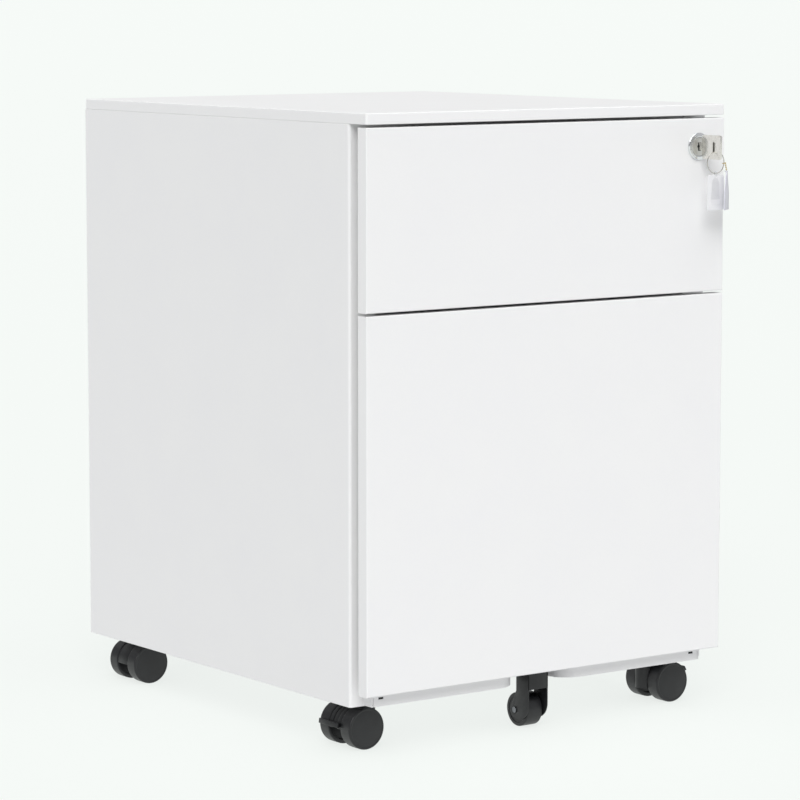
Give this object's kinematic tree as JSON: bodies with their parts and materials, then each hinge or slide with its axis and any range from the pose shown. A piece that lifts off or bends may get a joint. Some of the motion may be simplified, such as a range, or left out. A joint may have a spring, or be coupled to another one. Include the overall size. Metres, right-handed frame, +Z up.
{
  "type": "mobile filing pedestal",
  "caption": "White metal filing pedestal on casters: box drawer over file drawer, side finger channels, lock with key and ring, anti-tip wheel.",
  "frame": {"origin": "on the floor, under the middle of the whole footprint with the key in its lock", "axes": "+X to the user's right, +Y to the back, +Z up; the drawers open towards -Y"},
  "size_m": [0.39, 0.4842, 0.544],
  "materials": {
    "powder_coated_steel": "fine satin white powder coat",
    "zinc_plated_steel": "bright zinc plate",
    "nickel_plated_steel": "satin nickel plate",
    "black_nylon": "moulded black nylon",
    "black_tread": "moulded black wheel plastic, light grain",
    "white_plastic_film": "glossy white film",
    "grey_plastic": "glossy pale grey"
  },
  "bodies": {
    "cabinet": {"top_cap": "powder_coated_steel", "left_side_panel": "powder_coated_steel", "right_side_panel": "powder_coated_steel", "back_panel": "powder_coated_steel", "back_panel_screws": "zinc_plated_steel", "base_pan": "powder_coated_steel", "base_front_rail": "powder_coated_steel", "top_front_rail": "powder_coated_steel", "left_rear_upright": "powder_coated_steel", "right_rear_upright": "powder_coated_steel", "box_slide_cabinet_members": "zinc_plated_steel", "file_slide_cabinet_members": "zinc_plated_steel", "lock_bar_guides": "zinc_plated_steel", "caster_stems": "zinc_plated_steel", "caster_plates": "zinc_plated_steel", "caster_nuts": "zinc_plated_steel"},
    "lock_bar": {"lock_bar": "zinc_plated_steel"},
    "box_slide_middle": {"box_slide_middle_members": "zinc_plated_steel"},
    "file_slide_middle": {"file_slide_middle_members": "zinc_plated_steel"},
    "box_drawer": {"box_drawer_front": "powder_coated_steel", "box_drawer_liner": "powder_coated_steel", "box_drawer_tray": "powder_coated_steel", "box_drawer_striker": "powder_coated_steel", "box_slide_drawer_members": "zinc_plated_steel", "lock_rosette": "nickel_plated_steel", "lock_housing": "zinc_plated_steel"},
    "lock_plug": {"lock_plug": "nickel_plated_steel", "lock_cam": "zinc_plated_steel"},
    "key": {"key": "nickel_plated_steel"},
    "key_ring": {"key_ring": "nickel_plated_steel"},
    "white_key_tag": {"white_key_tag": "white_plastic_film"},
    "grey_key_tag": {"grey_key_tag": "grey_plastic"},
    "file_drawer": {"file_drawer_front": "powder_coated_steel", "file_drawer_liner": "powder_coated_steel", "file_drawer_tray": "powder_coated_steel", "file_drawer_striker": "powder_coated_steel", "hanging_file_rails": "zinc_plated_steel", "file_slide_drawer_members": "zinc_plated_steel", "fifth_wheel_bracket": "black_nylon", "fifth_wheel_axle": "zinc_plated_steel", "fifth_wheel_screws": "zinc_plated_steel"},
    "fifth_wheel": {"fifth_wheel": "black_tread"},
    "front_left_caster": {"front_left_caster_hood": "black_nylon", "front_left_caster_axle": "zinc_plated_steel"},
    "front_left_caster_near_wheel": {"front_left_caster_near_wheel": "black_tread"},
    "front_left_caster_far_wheel": {"front_left_caster_far_wheel": "black_tread"},
    "front_left_caster_brake_lever": {"front_left_caster_brake_lever": "black_nylon"},
    "front_right_caster": {"front_right_caster_hood": "black_nylon", "front_right_caster_axle": "zinc_plated_steel"},
    "front_right_caster_near_wheel": {"front_right_caster_near_wheel": "black_tread"},
    "front_right_caster_far_wheel": {"front_right_caster_far_wheel": "black_tread"},
    "front_right_caster_brake_lever": {"front_right_caster_brake_lever": "black_nylon"},
    "rear_left_caster": {"rear_left_caster_hood": "black_nylon", "rear_left_caster_axle": "zinc_plated_steel"},
    "rear_left_caster_near_wheel": {"rear_left_caster_near_wheel": "black_tread"},
    "rear_left_caster_far_wheel": {"rear_left_caster_far_wheel": "black_tread"},
    "rear_right_caster": {"rear_right_caster_hood": "black_nylon", "rear_right_caster_axle": "zinc_plated_steel"},
    "rear_right_caster_near_wheel": {"rear_right_caster_near_wheel": "black_tread"},
    "rear_right_caster_far_wheel": {"rear_right_caster_far_wheel": "black_tread"}
  },
  "joints": [
    {"name": "box_drawer_slide", "type": "slide", "parent": "cabinet", "child": "box_drawer", "axis": [0, -1, 0], "range_m": [0, 0.34]},
    {"name": "box_slide_middle_slide", "type": "slide", "parent": "cabinet", "child": "box_slide_middle", "axis": [0, -1, 0], "range_m": [0, 0.17]},
    {"name": "file_drawer_slide", "type": "slide", "parent": "cabinet", "child": "file_drawer", "axis": [0, -1, 0], "range_m": [0, 0.38]},
    {"name": "file_slide_middle_slide", "type": "slide", "parent": "cabinet", "child": "file_slide_middle", "axis": [0, -1, 0], "range_m": [0, 0.19]},
    {"name": "key_turn", "type": "hinge", "parent": "box_drawer", "child": "lock_plug", "pos_m": [0.165, -0.21155, 0.507], "axis": [0, 1, 0], "range_deg": [0, 90]},
    {"name": "lock_bar_lift", "type": "slide", "parent": "cabinet", "child": "lock_bar", "axis": [0, 0, 1], "range_m": [0, 0.0065]},
    {"name": "key_withdraw", "type": "slide", "parent": "lock_plug", "child": "key", "axis": [0, -1, 0], "range_m": [0, 0.024]},
    {"name": "key_ring_hang", "type": "hinge", "parent": "key", "child": "key_ring", "pos_m": [0.165, -0.23355, 0.49935], "axis": [0, 1, 0], "range_deg": [-91, 0]},
    {"name": "white_tag_swing", "type": "hinge", "parent": "key_ring", "child": "white_key_tag", "pos_m": [0.1662, -0.23355, 0.48407], "axis": [1, 0, 0], "range_deg": [0, 25]},
    {"name": "grey_tag_swing", "type": "hinge", "parent": "key_ring", "child": "grey_key_tag", "pos_m": [0.1784, -0.23505, 0.49267], "axis": [1, 0, 0], "range_deg": [-25, 0]},
    {"name": "fifth_wheel_roll", "type": "hinge", "parent": "file_drawer", "child": "fifth_wheel", "pos_m": [0, -0.17655, 0.0153], "axis": [1, 0, 0], "continuous": true},
    {"name": "front_left_caster_swivel", "type": "hinge", "parent": "cabinet", "child": "front_left_caster", "pos_m": [-0.156, -0.15405, 0.03], "axis": [0, 0, 1], "continuous": true},
    {"name": "front_left_caster_near_roll", "type": "hinge", "parent": "front_left_caster", "child": "front_left_caster_near_wheel", "pos_m": [-0.1703, -0.15405, 0.0183], "axis": [0, 1, 0], "continuous": true},
    {"name": "front_left_caster_far_roll", "type": "hinge", "parent": "front_left_caster", "child": "front_left_caster_far_wheel", "pos_m": [-0.1703, -0.15405, 0.0183], "axis": [0, 1, 0], "continuous": true},
    {"name": "front_left_caster_brake", "type": "hinge", "parent": "front_left_caster", "child": "front_left_caster_brake_lever", "pos_m": [-0.1703, -0.15405, 0.0183], "axis": [0, 1, 0], "range_deg": [0, 22]},
    {"name": "front_right_caster_swivel", "type": "hinge", "parent": "cabinet", "child": "front_right_caster", "pos_m": [0.156, -0.15405, 0.03], "axis": [0, 0, 1], "continuous": true},
    {"name": "front_right_caster_near_roll", "type": "hinge", "parent": "front_right_caster", "child": "front_right_caster_near_wheel", "pos_m": [0.1703, -0.15405, 0.0183], "axis": [0, 1, 0], "continuous": true},
    {"name": "front_right_caster_far_roll", "type": "hinge", "parent": "front_right_caster", "child": "front_right_caster_far_wheel", "pos_m": [0.1703, -0.15405, 0.0183], "axis": [0, 1, 0], "continuous": true},
    {"name": "front_right_caster_brake", "type": "hinge", "parent": "front_right_caster", "child": "front_right_caster_brake_lever", "pos_m": [0.1703, -0.15405, 0.0183], "axis": [0, 1, 0], "range_deg": [0, 22]},
    {"name": "rear_left_caster_swivel", "type": "hinge", "parent": "cabinet", "child": "rear_left_caster", "pos_m": [-0.156, 0.19495, 0.03], "axis": [0, 0, 1], "continuous": true},
    {"name": "rear_left_caster_near_roll", "type": "hinge", "parent": "rear_left_caster", "child": "rear_left_caster_near_wheel", "pos_m": [-0.1703, 0.19495, 0.0183], "axis": [0, 1, 0], "continuous": true},
    {"name": "rear_left_caster_far_roll", "type": "hinge", "parent": "rear_left_caster", "child": "rear_left_caster_far_wheel", "pos_m": [-0.1703, 0.19495, 0.0183], "axis": [0, 1, 0], "continuous": true},
    {"name": "rear_right_caster_swivel", "type": "hinge", "parent": "cabinet", "child": "rear_right_caster", "pos_m": [0.156, 0.19495, 0.03], "axis": [0, 0, 1], "continuous": true},
    {"name": "rear_right_caster_near_roll", "type": "hinge", "parent": "rear_right_caster", "child": "rear_right_caster_near_wheel", "pos_m": [0.1703, 0.19495, 0.0183], "axis": [0, 1, 0], "continuous": true},
    {"name": "rear_right_caster_far_roll", "type": "hinge", "parent": "rear_right_caster", "child": "rear_right_caster_far_wheel", "pos_m": [0.1703, 0.19495, 0.0183], "axis": [0, 1, 0], "continuous": true}
  ],
  "couplings": [
    {"joint": "box_slide_middle_slide", "follows": "box_drawer_slide", "ratio": 0.5},
    {"joint": "file_slide_middle_slide", "follows": "file_drawer_slide", "ratio": 0.5},
    {"joint": "lock_bar_lift", "follows": "key_turn", "m_per_rad": 0.0040514},
    {"joint": "key_ring_hang", "follows": "key_turn", "ratio": -1}
  ]
}
